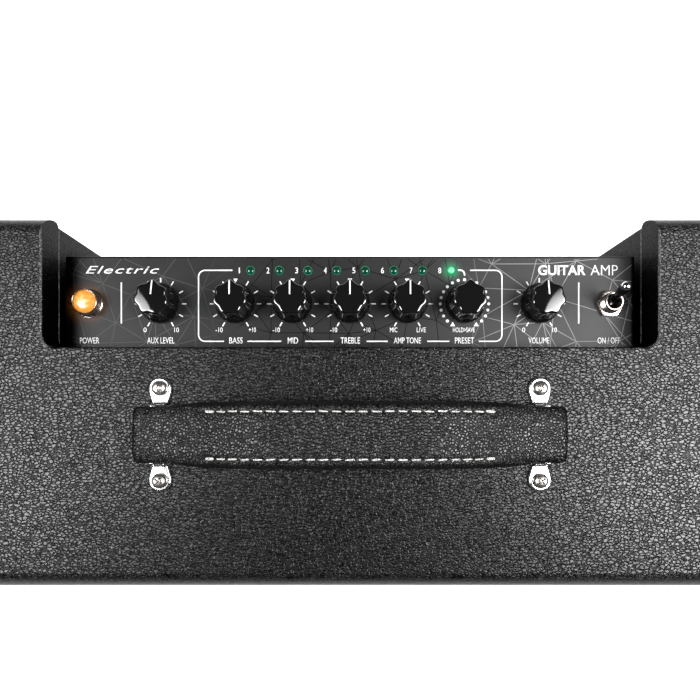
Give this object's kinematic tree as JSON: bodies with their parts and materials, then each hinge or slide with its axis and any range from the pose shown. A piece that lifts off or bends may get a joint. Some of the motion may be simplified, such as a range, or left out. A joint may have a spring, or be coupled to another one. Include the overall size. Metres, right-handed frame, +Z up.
{
  "type": "guitar amplifier",
  "caption": "Compact guitar amplifier cabinet with a recessed top control panel, strap handle, woofer and horn behind a grille cloth.",
  "frame": {"origin": "on the floor under the middle of the cabinet", "axes": "+X to the right seen from the front, +Y to the rear, +Z up"},
  "size_m": [0.52, 0.214, 0.5099],
  "materials": {
    "covering": "plywood under black pebble-grained vinyl",
    "bare_wood": "plain plywood",
    "black_wood": "matte black paint",
    "grille_cloth": "black woven speaker cloth",
    "rubber": "matte black",
    "leather": "fine-grained black, white stitches",
    "steel": "plain zinc plated",
    "chrome": "bright plating",
    "painted_steel": "satin black paint with white printing",
    "black_plastic": "glossy black",
    "circuit_board": "green solder mask",
    "light_pipe": "clear green",
    "amber_lens": "amber jewel, lit",
    "cone_paper": "black pressed paper",
    "magnet_steel": "plated",
    "aluminium": "extruded, plain"
  },
  "bodies": {
    "cabinet": {"top_board": "covering", "bottom_board": "covering", "side_board_left": "covering", "side_board_right": "covering", "cheek_left": "covering", "cheek_right": "covering", "control_shelf": "covering", "back_panel": "covering", "control_bulkhead": "bare_wood", "baffle_board": "bare_wood", "grille_frame": "black_wood", "grille_cloth": "grille_cloth", "foot_1": "rubber", "foot_2": "rubber", "foot_3": "rubber", "foot_4": "rubber", "handle_bracket_left": "chrome", "handle_bracket_right": "chrome", "handle_screw_1": "chrome", "handle_screw_2": "chrome", "handle_screw_3": "chrome", "handle_screw_4": "chrome", "control_chassis": "painted_steel", "control_board": "circuit_board", "led_light_pipe": "light_pipe", "lamp_bezel": "chrome", "lamp_jewel": "amber_lens", "toggle_body": "black_plastic", "toggle_nut": "chrome", "io_plate": "painted_steel", "amp_module": "aluminium", "mains_inlet": "black_plastic", "instrument_jack": "black_plastic", "line_jack": "black_plastic", "usb_socket": "black_plastic", "woofer_frame": "painted_steel", "woofer_magnet": "magnet_steel", "woofer_surround": "rubber", "horn": "black_plastic", "horn_driver": "magnet_steel"},
    "aux_level": {"aux_level_knob": "black_plastic", "aux_level_shaft": "steel"},
    "bass": {"bass_knob": "black_plastic", "bass_shaft": "steel"},
    "mid": {"mid_knob": "black_plastic", "mid_shaft": "steel"},
    "treble": {"treble_knob": "black_plastic", "treble_shaft": "steel"},
    "amp_tone": {"amp_tone_knob": "black_plastic", "amp_tone_shaft": "steel"},
    "volume": {"volume_knob": "black_plastic", "volume_shaft": "steel"},
    "preset_rotor": {"encoder_rotor": "black_plastic"},
    "preset_button": {"preset_knob": "black_plastic", "preset_shaft": "steel"},
    "toggle": {"toggle_lever": "chrome"},
    "handle": {"handle_strap": "leather", "handle_core": "steel"},
    "cone": {"woofer_cone": "cone_paper"}
  },
  "joints": [
    {"name": "aux_level_turn", "type": "hinge", "parent": "cabinet", "child": "aux_level", "pos_m": [-0.1158, 0.0613, 0.4573], "axis": [0, 0, -1], "range_deg": [-156, 144]},
    {"name": "bass_turn", "type": "hinge", "parent": "cabinet", "child": "bass", "pos_m": [-0.07, 0.0613, 0.4573], "axis": [0, 0, -1], "range_deg": [-150, 150]},
    {"name": "mid_turn", "type": "hinge", "parent": "cabinet", "child": "mid", "pos_m": [-0.035, 0.0613, 0.4573], "axis": [0, 0, -1], "range_deg": [-150, 150]},
    {"name": "treble_turn", "type": "hinge", "parent": "cabinet", "child": "treble", "pos_m": [0, 0.0613, 0.4573], "axis": [0, 0, -1], "range_deg": [-150, 150]},
    {"name": "amp_tone_turn", "type": "hinge", "parent": "cabinet", "child": "amp_tone", "pos_m": [0.035, 0.0613, 0.4573], "axis": [0, 0, -1], "range_deg": [-150, 150]},
    {"name": "preset_turn", "type": "hinge", "parent": "cabinet", "child": "preset_rotor", "pos_m": [0.07, 0.0613, 0.4573], "axis": [0, 0, -1], "continuous": true},
    {"name": "preset_push", "type": "slide", "parent": "preset_rotor", "child": "preset_button", "axis": [0, 0, -1], "range_m": [0, 0.0008], "stiffness_N_per_m": 1500, "springref_m": -0.001},
    {"name": "volume_turn", "type": "hinge", "parent": "cabinet", "child": "volume", "pos_m": [0.1157, 0.0613, 0.4573], "axis": [0, 0, -1], "range_deg": [-146, 154]},
    {"name": "toggle_flip", "type": "hinge", "parent": "cabinet", "child": "toggle", "pos_m": [0.1585, 0.0613, 0.4588], "axis": [1, 0, 0], "range_deg": [0, 32]},
    {"name": "handle_lift", "type": "slide", "parent": "cabinet", "child": "handle", "axis": [0, 0, 1], "range_m": [0, 0.003]},
    {"name": "cone_travel", "type": "slide", "parent": "cabinet", "child": "cone", "axis": [0, 1, 0], "range_m": [-0.004, 0.004], "stiffness_N_per_m": 2500}
  ]
}
